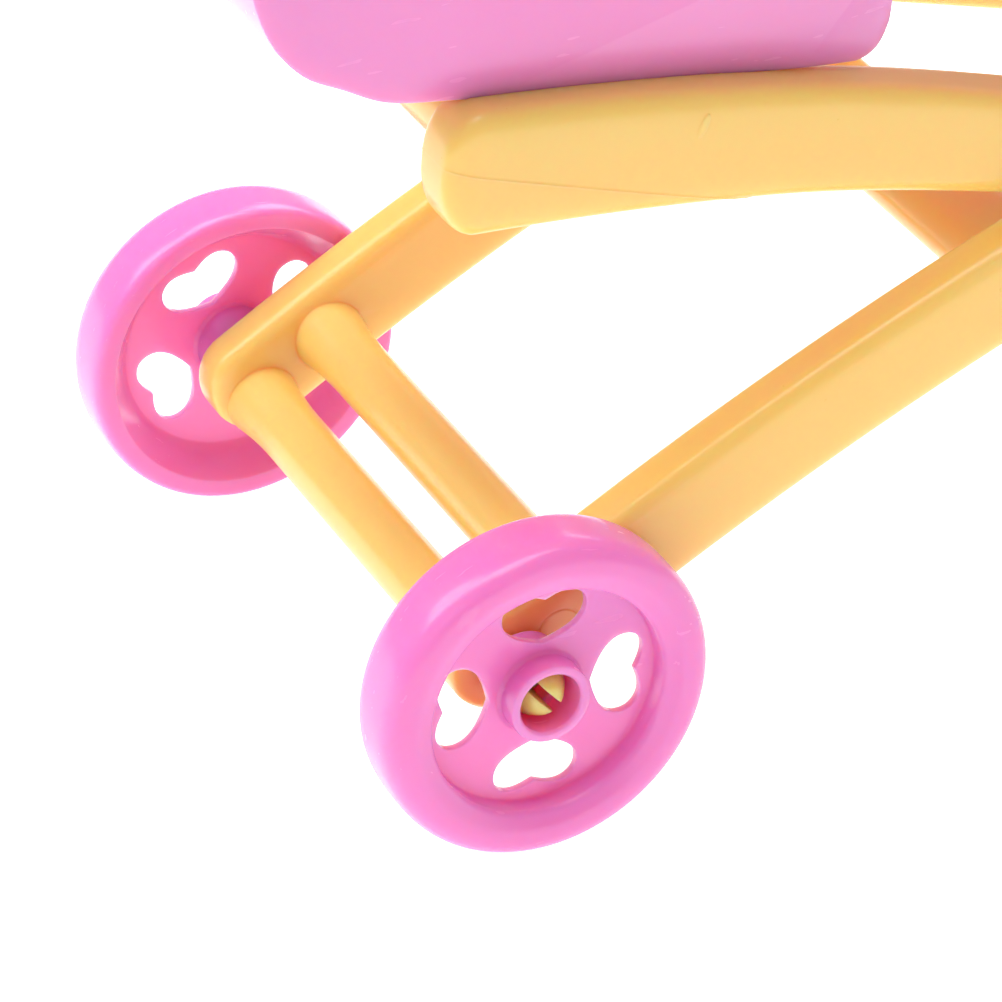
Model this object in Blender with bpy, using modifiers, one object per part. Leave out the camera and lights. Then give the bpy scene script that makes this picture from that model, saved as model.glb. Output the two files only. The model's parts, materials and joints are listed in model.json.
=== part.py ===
"""Doll stroller: two crossing leg frames on four wheels, a push handle, a tub seat and a hood."""
import math

import bmesh
import bpy
from mathutils import Matrix, Vector

MM = 0.001

# Wheels
WHEEL_RADIUS = 15.25 * MM
WHEEL_INNER = 28.6 * MM
WHEEL_OUTER = 35.6 * MM
RING_BORE = 10.8 * MM
WEB_IN = 32.1 * MM
BACK_BORE = 11.2 * MM
BACK_RIM = 13.1 * MM
WEB_OUT = 32.8 * MM
HUB_RADIUS = 3.75 * MM
HUB_MOUTH = 2.8 * MM
HUB_BORE = 2.1 * MM
HUB_SHOULDER = 31.6 * MM
WHEEL_SIDES = 32

# Leg frames: each leg is an arc that starts at its own wheel and ends free
WHEELBASE = 138.0 * MM
ARC_RADIUS = 321.5 * MM
ARC_CENTRE_S = 164.8 * MM
ARC_CENTRE_Z = -275.5 * MM
HEEL_S = -1.4 * MM
FRONT_LEG_END_S = 141.5 * MM
REAR_LEG_END_S = 138.9 * MM
LEG_DEPTH_LOW = 8.8 * MM
LEG_DEPTH_HIGH = 11.0 * MM
DEEPER_FROM = 82.0 * MM
REAR_SAG = 1.2 * MM
SAG_AT = 76.0 * MM
SAG_REACH = 36.0 * MM
LEG_EDGE = 1.7 * MM
FRONT_LEG_IN = 22.8 * MM
FRONT_LEG_OUT = 28.2 * MM
REAR_LEG_IN = 18.0 * MM
REAR_LEG_OUT = 24.4 * MM
REAR_LEG_THIN_OUT = 22.5 * MM
SPLAY_UNTIL = 16.0 * MM
THIN_FROM = 46.0 * MM
THIN_UNTIL = 83.6 * MM
THICK_FROM = 87.6 * MM

# Overall places, measured from the front axle
SEAT_TOE_Y = -22.0 * MM
GRIP_Y = 166.0 * MM
GRIP_Z = 141.0 * MM
HANDLE_TUBE = 2.7 * MM
HANDLE_X = 31.3 * MM
HANDLE_FOOT_Y = 139.0 * MM
SEAT_HINGE_Z = 96.0 * MM
FRONT_AXLE_Y = -(SEAT_TOE_Y + GRIP_Y + HANDLE_TUBE) / 2
REAR_AXLE_Y = FRONT_AXLE_Y + WHEELBASE

# Seat tub
SEAT_WALL = 1.8 * MM
SEAT_HALF_LOW = 20.3 * MM
SEAT_LOW_Z = 48.0 * MM
SEAT_FLARE = 0.17
SEAT_HALF_TOP = 25.0 * MM
SEAT_EDGE = 2.6 * MM

# Hood
HOOD_Y = 104.0 * MM
HOOD_Z = 96.0 * MM
HOOD_REAR_RADIUS = 45.8 * MM
HOOD_FRONT_RADIUS = 47.6 * MM
HOOD_WALL = 1.3 * MM
HOOD_REAR_SIDE = 26.6 * MM
HOOD_FRONT_SIDE = 28.2 * MM
HOOD_CORNER = 7.5 * MM

PIN_RADIUS = 1.9 * MM
PIN_GAP = 0.12 * MM
ROUND = 14


def arc_height(s):
    """Height above the axle of the leg's centre line, a distance s from its wheel."""
    return ARC_CENTRE_Z + math.sqrt(ARC_RADIUS ** 2 - (ARC_CENTRE_S - s) ** 2)


def arc_slope(s):
    """Direction of the leg's centre line, as an angle."""
    return math.asin((ARC_CENTRE_S - s) / ARC_RADIUS)


PIVOT_S = WHEELBASE / 2
PIVOT_Z = arc_height(PIVOT_S)
HANDLE_FOOT_Z = arc_height(HANDLE_FOOT_Y)
SEAT_HINGE_Y = (HANDLE_FOOT_Y + (GRIP_Y - HANDLE_FOOT_Y)
                * (SEAT_HINGE_Z - HANDLE_FOOT_Z) / (GRIP_Z - HANDLE_FOOT_Z))


def world(x, y, z):
    """World place of a point measured from the middle of the front axle."""
    return Vector((x, FRONT_AXLE_Y + y, WHEEL_RADIUS + z))


def clear_scene():
    """Empty the scene and make the two collections."""
    for old in list(bpy.data.objects):
        bpy.data.objects.remove(old, do_unlink=True)
    parts = bpy.data.collections.new("doll_stroller")
    tools = bpy.data.collections.new("cutters")
    for collection in (parts, tools):
        bpy.context.scene.collection.children.link(collection)
    return parts, tools


PARTS, TOOLS = clear_scene()


def plastic(name, colour, roughness):
    """A moulded plastic."""
    mat = bpy.data.materials.new(name)
    mat.use_nodes = True
    shader = mat.node_tree.nodes["Principled BSDF"]
    shader.inputs["Base Color"].default_value = (*colour, 1.0)
    shader.inputs["Roughness"].default_value = roughness
    shader.inputs["Metallic"].default_value = 0.0
    mat.diffuse_color = (*colour, 1.0)
    return mat


def yellow_frame(name):
    return plastic(name, (0.83, 0.55, 0.20), 0.32)


def pink_wheel(name):
    return plastic(name, (0.83, 0.28, 0.60), 0.28)


def lilac_seat(name):
    return plastic(name, (0.71, 0.30, 0.62), 0.30)


def place(name, mesh, collection, origin=(0.0, 0.0, 0.0)):
    """Put a mesh with world coordinates in the scene, its origin at the given point."""
    mesh.transform(Matrix.Translation(-Vector(origin)))
    obj = bpy.data.objects.new(name, mesh)
    obj.location = origin
    collection.objects.link(obj)
    if collection is TOOLS:
        obj.hide_render = True
        obj.display_type = "WIRE"
    return obj


def baked(obj):
    """The finished mesh of an object, in world coordinates; the object itself is removed."""
    bpy.context.view_layer.update()
    graph = bpy.context.evaluated_depsgraph_get()
    final = obj.evaluated_get(graph)
    mesh = bpy.data.meshes.new_from_object(final, depsgraph=graph)
    mesh.transform(final.matrix_world)
    bpy.data.objects.remove(obj, do_unlink=True)
    return mesh


def tidy(mesh, merge=0.000002, flat=True):
    """Weld the caps and join flat neighbouring faces."""
    bm = bmesh.new()
    bm.from_mesh(mesh)
    bmesh.ops.remove_doubles(bm, verts=bm.verts, dist=merge)
    if flat:
        bmesh.ops.dissolve_limit(bm, angle_limit=math.radians(0.3), verts=bm.verts, edges=bm.edges)
    bmesh.ops.recalc_face_normals(bm, faces=bm.faces)
    bm.to_mesh(mesh)
    bm.free()
    return mesh


def slab(outline, x_low, x_high):
    """Mesh of a flat outline of (y, z) points, as thick as the span from x_low to x_high."""
    curve = bpy.data.curves.new("outline", "CURVE")
    curve.dimensions = "2D"
    curve.fill_mode = "BOTH"
    curve.extrude = (x_high - x_low) / 2
    spline = curve.splines.new("POLY")
    spline.points.add(len(outline) - 1)
    for point, (y, z) in zip(spline.points, outline):
        point.co = (FRONT_AXLE_Y + y, WHEEL_RADIUS + z, 0.0, 1.0)
    spline.use_cyclic_u = True
    obj = bpy.data.objects.new("outline", curve)
    obj.rotation_euler = (math.pi / 2, 0.0, math.pi / 2)
    obj.location.x = (x_low + x_high) / 2
    TOOLS.objects.link(obj)
    return tidy(baked(obj))


def turned(profile, y, z, sides=ROUND, closed=False, phase=0.0):
    """Mesh turned about a line along X through (y, z), from points of (x, radius)."""
    mesh = bpy.data.meshes.new("profile")
    corners = [(radius, 0.0, x) for x, radius in profile]
    edges = [(i, i + 1) for i in range(len(corners) - 1)]
    if closed:
        edges.append((len(corners) - 1, 0))
    mesh.from_pydata(corners, edges, [])
    obj = bpy.data.objects.new("profile", mesh)
    TOOLS.objects.link(obj)
    screw = obj.modifiers.new("turn", "SCREW")
    screw.steps = sides
    screw.render_steps = sides
    screw.use_merge_vertices = True
    screw.merge_threshold = 0.00001
    final = tidy(baked(obj), flat=False)
    final.transform(Matrix.Rotation(phase, 4, "Z"))
    final.transform(Matrix.Rotation(math.pi / 2, 4, "Z") @ Matrix.Rotation(math.pi / 2, 4, "X"))
    final.transform(Matrix.Translation(world(0.0, y, z)))
    return final


def rod(x_low, x_high, radius, y, z, sides=ROUND):
    """Mesh of a plain round bar along X."""
    profile = [(x_low, 0.0), (x_low, radius), (x_high, radius), (x_high, 0.0)]
    return turned(profile, y, z, sides)


def block(low, high):
    """Mesh of a box between two corners measured from the front axle."""
    outline = [(low[1], low[2]), (high[1], low[2]), (high[1], high[2]), (low[1], high[2])]
    return slab(outline, low[0], high[0])


def combine(obj, mesh, operation):
    """Join, cut or keep the common part of an object and a mesh."""
    tool = place("tool", mesh, TOOLS)
    change = obj.modifiers.new(operation.lower(), "BOOLEAN")
    change.operation = operation
    change.solver = "EXACT"
    change.object = tool
    return change


def round_edges(obj, width, segments=2):
    """Round the sharp edges of a slab."""
    bevel = obj.modifiers.new("edges", "BEVEL")
    bevel.width = width
    bevel.segments = segments
    bevel.limit_method = "ANGLE"
    bevel.angle_limit = math.radians(40.0)
    return bevel


def finish(obj, name, origin, material, smooth=True):
    """Bake an object's shape and give it its name, joint origin and material."""
    mesh = tidy(baked(obj), merge=0.000004)
    mesh.name = name
    mesh.materials.clear()
    mesh.materials.append(material)
    part = place(name, mesh, PARTS, origin)
    if smooth:
        mesh.shade_smooth()
        mesh.set_sharp_from_angle(angle=math.radians(35.0))
    return part


def leg_depth(s):
    """Depth of a leg, which grows towards its free end."""
    return LEG_DEPTH_LOW + (LEG_DEPTH_HIGH - LEG_DEPTH_LOW) * blend(s, DEEPER_FROM, FRONT_LEG_END_S)


def rear_sag(s):
    """How far a rear leg lies below the common arc, about where the legs cross."""
    away = min(1.0, abs(s - SAG_AT) / SAG_REACH)
    return REAR_SAG * (0.5 + 0.5 * math.cos(math.pi * away))


def leg_outline(end_s, rearward):
    """Outline of one leg in (s, z), s running from its wheel to its free end."""
    upper = []
    lower = []
    steps = 12
    for i in range(steps + 1):
        s = HEEL_S + (end_s - HEEL_S) * i / steps
        depth = leg_depth(s)
        angle = arc_slope(s)
        z = arc_height(s) - (rear_sag(s) if rearward else 0.0)
        upper.append((s - math.sin(angle) * depth / 2, z + math.cos(angle) * depth / 2))
        lower.append((s + math.sin(angle) * depth / 2, z - math.cos(angle) * depth / 2))
    tip = end_cap(end_s, leg_depth(end_s) / 2, arc_slope(end_s), 0.0, 0.62)
    heel = end_cap(HEEL_S, LEG_DEPTH_LOW / 2, arc_slope(HEEL_S), math.pi, 0.95)
    return lower + tip + upper[::-1] + heel


def end_cap(s, radius, slope, turn, squash):
    """Rounded end of a leg, as points between its lower and upper line."""
    points = []
    for i in range(1, 6):
        around = -math.pi / 2 + math.pi * i / 6
        along = math.cos(around) * radius * squash
        across = math.sin(around) * radius
        angle = slope + turn
        points.append((s + math.cos(angle) * along - math.sin(angle) * across,
                       arc_height(s) + math.sin(angle) * along + math.cos(angle) * across))
    return points


def blend(value, low, high):
    """0 below low, 1 above high and an even ramp between."""
    return min(1.0, max(0.0, (value - low) / (high - low)))


def rear_leg_plan(x, s):
    """Sideways place of the rear leg, which is thin at the pivot and wide-set at the wheel."""
    thin = blend(s, THIN_UNTIL, THICK_FROM)
    outer = REAR_LEG_THIN_OUT + (REAR_LEG_OUT - REAR_LEG_THIN_OUT) * thin
    apart = 1.0 - blend(s, SPLAY_UNTIL, THIN_FROM)
    outer += (FRONT_LEG_OUT - REAR_LEG_THIN_OUT) * apart
    inner = REAR_LEG_IN + (FRONT_LEG_IN - REAR_LEG_IN) * apart
    return outer if x > (REAR_LEG_IN + REAR_LEG_OUT) / 2 else inner


def fold_lines(mesh, stations):
    """Split a rear leg across at the places where its plan changes direction."""
    bm = bmesh.new()
    bm.from_mesh(mesh)
    for s in stations:
        everything = list(bm.verts) + list(bm.edges) + list(bm.faces)
        bmesh.ops.bisect_plane(bm, geom=everything, dist=0.000001,
                               plane_co=(0.0, REAR_AXLE_Y - s, 0.0), plane_no=(0.0, 1.0, 0.0))
    bm.to_mesh(mesh)
    bm.free()


CROSSBARS = (
    # distance along the leg, drop below its centre line, half length and half height of the bar
    (-1.0 * MM, 1.9 * MM, 2.9 * MM, 2.9 * MM),
    (5.8 * MM, 0.1 * MM, 2.9 * MM, 2.9 * MM),
    (50.9 * MM, 1.2 * MM, 4.2 * MM, 2.9 * MM),
    (134.7 * MM, 0.6 * MM, 3.2 * MM, 3.4 * MM),
)


def oval(y, z, half_y, half_z, angle=0.0, sides=12):
    """Outline of an oval in (y, z)."""
    points = []
    for i in range(sides):
        around = 2 * math.pi * (i + 0.5) / sides
        a = math.cos(around) * half_y
        b = math.sin(around) * half_z
        points.append((y + a * math.cos(angle) - b * math.sin(angle),
                       z + a * math.sin(angle) + b * math.cos(angle)))
    return points


def snap_pin(y):
    """Split stub that carries a wheel, with a snap head past the hub's shoulder."""
    profile = [(FRONT_LEG_OUT - 2.0 * MM, 0.0), (FRONT_LEG_OUT - 2.0 * MM, PIN_RADIUS),
               (HUB_SHOULDER + 0.3 * MM, PIN_RADIUS), (HUB_SHOULDER + 0.6 * MM, 2.45 * MM),
               (HUB_SHOULDER + 1.1 * MM, 2.45 * MM), (HUB_SHOULDER + 2.9 * MM, 1.2 * MM),
               (HUB_SHOULDER + 2.9 * MM, 0.0)]
    return turned(profile, y, 0.0)


def pin_slot(y):
    """Narrow space that splits the stub into two prongs."""
    turn = math.radians(131.0)
    half_long = 4.0 * MM
    half_wide = 0.45 * MM
    outline = []
    for a, b in ((1, 1), (-1, 1), (-1, -1), (1, -1)):
        outline.append((y + a * half_long * math.cos(turn) - b * half_wide * math.sin(turn),
                        a * half_long * math.sin(turn) + b * half_wide * math.cos(turn)))
    return slab(outline, 30.0 * MM, 36.0 * MM)


def leg_frame(name, rearward, origin):
    """One ladder frame: two arched legs and four bars, as a single moulding."""
    turn = (lambda s: s) if not rearward else (lambda s: WHEELBASE - s)
    end_s = REAR_LEG_END_S if rearward else FRONT_LEG_END_S
    outline = [(turn(s), z) for s, z in leg_outline(end_s, rearward)]
    if rearward:
        outline = outline[::-1]
        low, high = REAR_LEG_IN, REAR_LEG_OUT
    else:
        low, high = FRONT_LEG_IN, FRONT_LEG_OUT
    mesh = slab(outline, low, high)
    if rearward:
        fold_lines(mesh, [SPLAY_UNTIL, THIN_FROM, THIN_UNTIL, THICK_FROM])
        for vertex in mesh.vertices:
            vertex.co.x = rear_leg_plan(vertex.co.x, REAR_AXLE_Y - vertex.co.y)
    obj = place("leg", mesh, TOOLS)
    round_edges(obj, LEG_EDGE)
    for index, (s, drop, half_y, half_z) in enumerate(CROSSBARS):
        slope = arc_slope(max(s, 0.0))
        z = arc_height(max(s, 0.0)) - drop
        angle = -slope if rearward else slope
        inside = FRONT_LEG_IN if (index < 2 or not rearward) else REAR_LEG_IN
        bar = slab(oval(turn(s), z, half_y, half_z, angle), -4.0 * MM, inside + 1.6 * MM)
        combine(obj, bar, "UNION")
    axle_y = turn(0.0)
    combine(obj, snap_pin(axle_y), "UNION")
    combine(obj, pin_slot(axle_y), "DIFFERENCE")
    hole = rod(15.0 * MM, 32.0 * MM, PIN_RADIUS + PIN_GAP, PIVOT_S, PIVOT_Z)
    combine(obj, hole, "DIFFERENCE")
    if not rearward:
        foot = rod(FRONT_LEG_OUT - 3.5 * MM, 32.0 * MM, PIN_RADIUS + PIN_GAP,
                   HANDLE_FOOT_Y, HANDLE_FOOT_Z)
        combine(obj, foot, "DIFFERENCE")
    mirror = obj.modifiers.new("other side", "MIRROR")
    mirror.use_axis = (True, False, False)
    mirror.use_bisect_axis = (True, False, False)
    mirror.merge_threshold = 0.00002
    return finish(obj, name, origin, yellow_frame(name))


HEART_HALF = (
    # distance from the hub's centre and half width, from the tip round a lobe to the notch
    (4.7 * MM, 0.0), (5.15 * MM, 1.4 * MM), (5.85 * MM, 2.8 * MM), (6.8 * MM, 3.7 * MM),
    (7.9 * MM, 3.95 * MM), (8.9 * MM, 3.6 * MM), (9.55 * MM, 2.6 * MM), (9.55 * MM, 1.4 * MM),
    (9.05 * MM, 0.0),
)


def heart(turn):
    """Outline of a broad heart whose tip points to the hub."""
    half = list(HEART_HALF)
    whole = half + [(r, -side) for r, side in half[-2:0:-1]]
    return [(r * math.cos(turn) - side * math.sin(turn), r * math.sin(turn) + side * math.cos(turn))
            for r, side in whole]


def wheel_mesh():
    """One wheel about the front axle's line on the right: ring, web with hearts and hub."""
    flat = WHEEL_RADIUS / math.cos(math.pi / WHEEL_SIDES)
    middle = (WHEEL_INNER + WHEEL_OUTER) / 2
    hub_in = WHEEL_INNER + 0.1 * MM
    hub_out = WHEEL_OUTER - 0.5 * MM
    profile = [
        (middle + 1.4 * MM, flat), (WHEEL_OUTER - 0.9 * MM, flat - 0.7 * MM),
        (WHEEL_OUTER - 0.1 * MM, flat - 1.9 * MM), (WHEEL_OUTER - 0.2 * MM, flat - 3.3 * MM),
        (WHEEL_OUTER - 1.2 * MM, RING_BORE + 0.1 * MM), (WEB_OUT, RING_BORE - 0.1 * MM),
        (WEB_OUT, HUB_RADIUS), (hub_out, HUB_RADIUS - 0.1 * MM),
        (hub_out, HUB_MOUTH), (HUB_SHOULDER, HUB_MOUTH),
        (HUB_SHOULDER, HUB_BORE), (hub_in, HUB_BORE),
        (hub_in, HUB_RADIUS - 0.1 * MM), (WEB_IN, HUB_RADIUS),
        (WEB_IN, BACK_BORE), (WHEEL_INNER + 0.4 * MM, BACK_RIM),
        (WHEEL_INNER, BACK_RIM + 0.5 * MM), (WHEEL_INNER + 0.1 * MM, flat - 0.9 * MM),
        (WHEEL_INNER + 0.8 * MM, flat - 0.2 * MM), (middle - 1.4 * MM, flat),
    ]
    ring = turned(profile, 0.0, 0.0, WHEEL_SIDES, closed=True, phase=math.pi / WHEEL_SIDES)
    obj = place("wheel", ring, TOOLS)
    for i in range(4):
        outline = heart(math.radians(-3.0 + 90.0 * i))
        combine(obj, slab(outline, WEB_IN - 1.0 * MM, WEB_OUT + 1.0 * MM), "DIFFERENCE")
    mesh = tidy(baked(obj), merge=0.000004)
    mesh.transform(Matrix.Translation(-world(0.0, 0.0, 0.0)))
    mesh.shade_smooth()
    mesh.set_sharp_from_angle(angle=math.radians(35.0))
    return mesh


def wheels():
    """Four like wheels, each with its origin on its axle."""
    mesh = wheel_mesh()
    mesh.materials.append(pink_wheel("wheel"))
    for end, y in (("front", 0.0), ("rear", WHEELBASE)):
        for side, turn in (("right", 0.0), ("left", math.pi)):
            obj = bpy.data.objects.new("wheel_" + end + "_" + side, mesh)
            obj.location = world(0.0, y, 0.0)
            obj.rotation_euler.z = turn
            PARTS.objects.link(obj)


def headed_pin(name, x_low, x_high, y, z, radius, head, mirrored):
    """Short pin with a domed head on its outer end."""
    profile = [(x_low, 0.0), (x_low, radius - 0.3 * MM), (x_low + 0.4 * MM, radius),
               (x_high, radius), (x_high, head), (x_high + 0.5 * MM, head - 0.2 * MM),
               (x_high + 1.0 * MM, head * 0.55), (x_high + 1.1 * MM, 0.0)]
    mesh = turned(profile, y, z)
    if mirrored:
        mesh.transform(Matrix.Scale(-1.0, 4, (1.0, 0.0, 0.0)))
        mesh.flip_normals()
    obj = place("pin", mesh, TOOLS)
    return finish(obj, name, world(0.0, y, z), yellow_frame(name))


def pins():
    """The pins of the leg pivot, the handle's feet, the seat hinge and the hood."""
    head = 3.1 * MM
    for side, mirrored in (("right", False), ("left", True)):
        headed_pin("leg_pivot_" + side, 17.6 * MM, FRONT_LEG_OUT + 0.3 * MM, PIVOT_S, PIVOT_Z,
                   PIN_RADIUS, head, mirrored)
        headed_pin("handle_pin_" + side, FRONT_LEG_OUT - 3.0 * MM, 34.4 * MM, HANDLE_FOOT_Y,
                   HANDLE_FOOT_Z, PIN_RADIUS, head, mirrored)
        headed_pin("seat_hinge_" + side, 22.7 * MM, 34.4 * MM, SEAT_HINGE_Y, SEAT_HINGE_Z,
                   PIN_RADIUS, head, mirrored)
        headed_pin("hood_pin_" + side, 22.7 * MM, HOOD_FRONT_SIDE + 0.3 * MM, HOOD_Y, HOOD_Z,
                   PIN_RADIUS, head, mirrored)


def push_handle():
    """U-shaped handle: two leaning arms, a cross grip, feet and hinge eyes."""
    bend = 13.0 * MM
    length = math.hypot(GRIP_Y - HANDLE_FOOT_Y, GRIP_Z - HANDLE_FOOT_Z)
    lean_y = (GRIP_Y - HANDLE_FOOT_Y) / length
    lean_z = (GRIP_Z - HANDLE_FOOT_Z) / length
    points = [(HANDLE_X, length * i / 4 * (length - bend) / length) for i in range(4)]
    for i in range(7):
        around = math.pi / 2 * i / 6
        points.append((HANDLE_X - bend + bend * math.cos(around),
                       length - bend + bend * math.sin(around)))
    points.append((0.0, length + 1.0 * MM))
    path = points + [(-x, along) for x, along in points[-2::-1]]
    curve = bpy.data.curves.new("handle", "CURVE")
    curve.dimensions = "3D"
    curve.bevel_depth = HANDLE_TUBE
    curve.bevel_resolution = 2
    curve.use_fill_caps = True
    spline = curve.splines.new("POLY")
    spline.points.add(len(path) - 1)
    for point, (x, along) in zip(spline.points, path):
        where = world(x, HANDLE_FOOT_Y + lean_y * along, HANDLE_FOOT_Z + lean_z * along)
        point.co = (*where, 1.0)
    tube = bpy.data.objects.new("handle", curve)
    TOOLS.objects.link(tube)
    obj = place("handle", tidy(baked(tube), flat=False), TOOLS)
    eyes = ((HANDLE_FOOT_Y, HANDLE_FOOT_Z, 4.6 * MM, FRONT_LEG_OUT + 0.3 * MM, 34.1 * MM),
            (SEAT_HINGE_Y, SEAT_HINGE_Z, 4.2 * MM, HANDLE_X - 2.7 * MM, 34.1 * MM))
    for y, z, radius, low, high in eyes:
        for side in (1.0, -1.0):
            span = sorted((side * low, side * high))
            combine(obj, rod(span[0], span[1], radius, y, z), "UNION")
    for y, z, radius, low, high in eyes:
        hole = rod(-40.0 * MM, 40.0 * MM, PIN_RADIUS + PIN_GAP, y, z)
        combine(obj, hole, "DIFFERENCE")
    return finish(obj, "push_handle", world(0.0, HANDLE_FOOT_Y, HANDLE_FOOT_Z),
                  yellow_frame("push_handle"))


FOOTWELL = (
    (-22.0, 88.0), (-21.6, 74.0), (-20.6, 66.0), (-18.6, 60.3), (-15.6, 56.4), (-12.0, 54.2),
    (-8.0, 52.5), (-2.4, 51.4), (7.3, 49.8), (20.0, 48.2), (29.2, 47.1), (34.7, 46.45),
    (36.2, 46.7), (37.3, 47.6), (37.8, 49.2), (38.1, 56.6), (38.8, 59.6), (40.4, 61.3), (43.0, 61.9),
)
PAN_AND_BACK = (
    (60.0, 62.4), (90.0, 63.6), (104.0, 65.0), (112.0, 69.0), (118.0, 76.0), (140.5, 124.0),
)
RIM = (
    (-30.0, 79.0), (-10.0, 80.5), (30.0, 83.0), (66.0, 85.0), (80.0, 88.0), (88.0, 94.0),
    (94.0, 101.0), (102.0, 104.0), (112.0, 105.0), (122.0, 108.0), (131.0, 113.5), (148.0, 115.5),
)


def millimetres(points):
    return [(y * MM, z * MM) for y, z in points]


def inset(points, distance):
    """Points moved to the left of the way they run, by an even wall thickness."""
    moved = []
    for i, (y, z) in enumerate(points):
        before = Vector(points[max(i - 1, 0)])
        after = Vector(points[min(i + 1, len(points) - 1)])
        way = (after - before).normalized()
        moved.append((y - way.y * distance, z + way.x * distance))
    return moved


def flared(profile, half_low, half_top, top):
    """Tub block: the side profile given width, with sides that flare up to a limit."""
    outline = list(profile) + [(profile[-1][0] + 2.0 * MM, top), (profile[0][0], top)]
    mesh = slab(outline, -half_low, half_low)
    for vertex in mesh.vertices:
        rise = vertex.co.z - WHEEL_RADIUS - SEAT_LOW_Z
        vertex.co.x += math.copysign(SEAT_FLARE * rise, vertex.co.x)
    obj = place("tub", mesh, TOOLS)
    round_edges(obj, SEAT_EDGE, 3)
    low_y = profile[0][0] - 20.0 * MM
    high_y = profile[-1][0] + 20.0 * MM
    combine(obj, block((-half_top, low_y, 30.0 * MM), (half_top, high_y, top + 20.0 * MM)),
            "INTERSECT")
    return tidy(baked(obj), merge=0.000004)


def seat_tub():
    """Open tub with a deep footwell, a seat pan, a leaning back and hinge ears."""
    outer = millimetres(FOOTWELL + PAN_AND_BACK)
    inner = inset(outer, SEAT_WALL)
    obj = place("tub", flared(outer, SEAT_HALF_LOW, SEAT_HALF_TOP, 135.0 * MM), TOOLS)
    hollow = flared(inner, SEAT_HALF_LOW - SEAT_WALL, SEAT_HALF_TOP - SEAT_WALL, 150.0 * MM)
    combine(obj, hollow, "DIFFERENCE")
    above = millimetres(RIM) + [(160.0 * MM, 170.0 * MM), (-40.0 * MM, 170.0 * MM)]
    combine(obj, slab(above, -40.0 * MM, 40.0 * MM), "DIFFERENCE")
    ear_in = SEAT_HALF_TOP - SEAT_WALL + 0.2 * MM
    ear_out = SEAT_HALF_TOP - 0.15 * MM
    ear = [(124.0 * MM, 92.4 * MM), (SEAT_HINGE_Y, SEAT_HINGE_Z - 4.0 * MM),
           (SEAT_HINGE_Y + 3.4 * MM, SEAT_HINGE_Z - 2.2 * MM),
           (SEAT_HINGE_Y + 3.4 * MM, SEAT_HINGE_Z + 2.2 * MM),
           (SEAT_HINGE_Y, SEAT_HINGE_Z + 4.0 * MM), (127.0 * MM, 100.0 * MM)]
    for side in (1.0, -1.0):
        span = sorted((side * ear_in, side * ear_out))
        combine(obj, slab(ear, span[0], span[1]), "UNION")
        span = sorted((side * (ear_in + 0.1 * MM), side * 28.3 * MM))
        combine(obj, rod(span[0], span[1], 3.9 * MM, SEAT_HINGE_Y, SEAT_HINGE_Z), "UNION")
    for y, z in ((SEAT_HINGE_Y, SEAT_HINGE_Z), (HOOD_Y, HOOD_Z)):
        combine(obj, rod(-40.0 * MM, 40.0 * MM, PIN_RADIUS + PIN_GAP, y, z), "DIFFERENCE")
    return finish(obj, "seat_tub", world(0.0, SEAT_HINGE_Y, SEAT_HINGE_Z),
                  lilac_seat("seat_tub"))


def drum(radius, side, corner):
    """Turned drum with rounded shoulders, the full circle that a hood panel is cut from."""
    profile = [(-side, 0.0), (-side, radius - corner)]
    for i in range(1, 5):
        around = math.pi / 2 * i / 5
        profile.append((-side + corner * (1 - math.cos(around)),
                        radius - corner + corner * math.sin(around)))
    profile.append((-side + corner, radius))
    profile = profile + [(-x, r) for x, r in profile[::-1]]
    return turned(profile, HOOD_Y, HOOD_Z, 48)


def hood_panel(name, radius, side, start, end):
    """One curved panel of the hood between two angles, with an eye on each side."""
    obj = place("hood", drum(radius, side, HOOD_CORNER), TOOLS)
    sector = [(HOOD_Y + 1.0 * MM * math.cos(math.radians(start + end) / 2),
               HOOD_Z + 1.0 * MM * math.sin(math.radians(start + end) / 2))]
    for i in range(13):
        angle = math.radians(start + (end - start) * i / 12)
        sector.append((HOOD_Y + 60.0 * MM * math.cos(angle), HOOD_Z + 60.0 * MM * math.sin(angle)))
    combine(obj, slab(sector, -40.0 * MM, 40.0 * MM), "INTERSECT")
    combine(obj, drum(radius - HOOD_WALL, side - HOOD_WALL, HOOD_CORNER - HOOD_WALL),
            "DIFFERENCE")
    for flip in (1.0, -1.0):
        span = sorted((flip * (side - HOOD_WALL + 0.06 * MM), flip * (side - 0.06 * MM)))
        combine(obj, rod(span[0], span[1], 5.2 * MM, HOOD_Y, HOOD_Z), "UNION")
    hole = rod(-40.0 * MM, 40.0 * MM, PIN_RADIUS + PIN_GAP, HOOD_Y, HOOD_Z)
    combine(obj, hole, "DIFFERENCE")
    return finish(obj, name, world(0.0, HOOD_Y, HOOD_Z), lilac_seat(name))


def stroller():
    leg_frame("front_leg_frame", False, world(0.0, PIVOT_S, PIVOT_Z))
    leg_frame("rear_leg_frame", True, world(0.0, PIVOT_S, PIVOT_Z))
    wheels()
    pins()
    push_handle()
    seat_tub()
    hood_panel("hood_rear", HOOD_REAR_RADIUS, HOOD_REAR_SIDE, 30.0, 96.0)
    hood_panel("hood_front", HOOD_FRONT_RADIUS, HOOD_FRONT_SIDE, 90.0, 150.0)


stroller()
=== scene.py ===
"""Doll stroller: smooth moulded pieces, plastics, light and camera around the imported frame."""
import json
import math

import bpy
from mathutils import Matrix, Vector


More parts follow.
